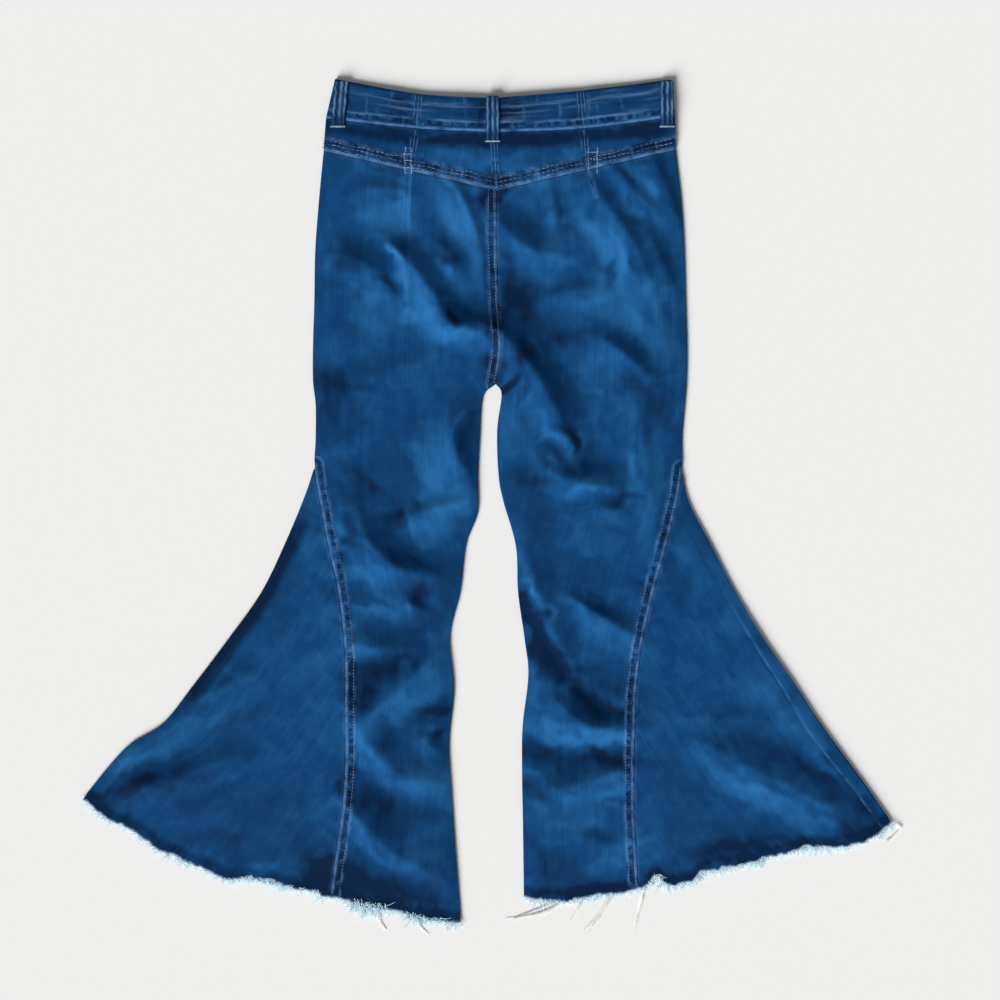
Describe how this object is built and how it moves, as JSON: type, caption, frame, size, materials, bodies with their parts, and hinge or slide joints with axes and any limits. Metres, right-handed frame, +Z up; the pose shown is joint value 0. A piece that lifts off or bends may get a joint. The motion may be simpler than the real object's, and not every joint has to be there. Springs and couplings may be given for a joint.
{
  "type": "flared jeans laid flat",
  "caption": "Cropped flared jeans with side godets and a frayed raw hem, laid flat with the back side up.",
  "frame": {"origin": "on the surface that the jeans lie on, below the middle of their bounding box", "axes": "+Z up from that surface, +Y towards the waist, +X towards the right-hand leg as seen from above, which is the wearer's right leg because the back side is up"},
  "size_m": [0.9128, 0.9506, 0.02],
  "materials": {
    "denim": "mid-blue washed twill denim, faded on the thighs, with worn light-blue seams",
    "dark_denim": "darker, less faded denim of the waistband and belt loops",
    "frayed_warp": "pale unravelled threads of the raw hem",
    "aged_copper": "matt aged copper",
    "zip_tape": "navy woven tape"
  },
  "bodies": {
    "root": {"waistband_back_left": "dark_denim", "waistband_back_centre": "dark_denim", "waistband_back_right": "dark_denim", "waistband_front_left": "dark_denim", "waistband_front_right": "dark_denim", "yoke_left_side": "denim", "yoke_left_centre": "denim", "yoke_right_centre": "denim", "yoke_right_side": "denim", "back_leg_left": "denim", "back_leg_right": "denim", "godet_back_left": "denim", "godet_back_right": "denim", "front_leg_left": "denim", "front_leg_right": "denim", "godet_front_left": "denim", "godet_front_right": "denim", "loop_back_centre": "dark_denim", "loop_side_left": "dark_denim", "loop_side_right": "dark_denim", "loop_front_left": "dark_denim", "loop_front_right": "dark_denim", "fringe_back_left": "frayed_warp", "fringe_back_right": "frayed_warp", "fringe_front_left": "frayed_warp", "fringe_front_right": "frayed_warp", "button": "aged_copper", "zip_slider": "aged_copper", "zip_tape": "zip_tape"}
  },
  "joints": []
}
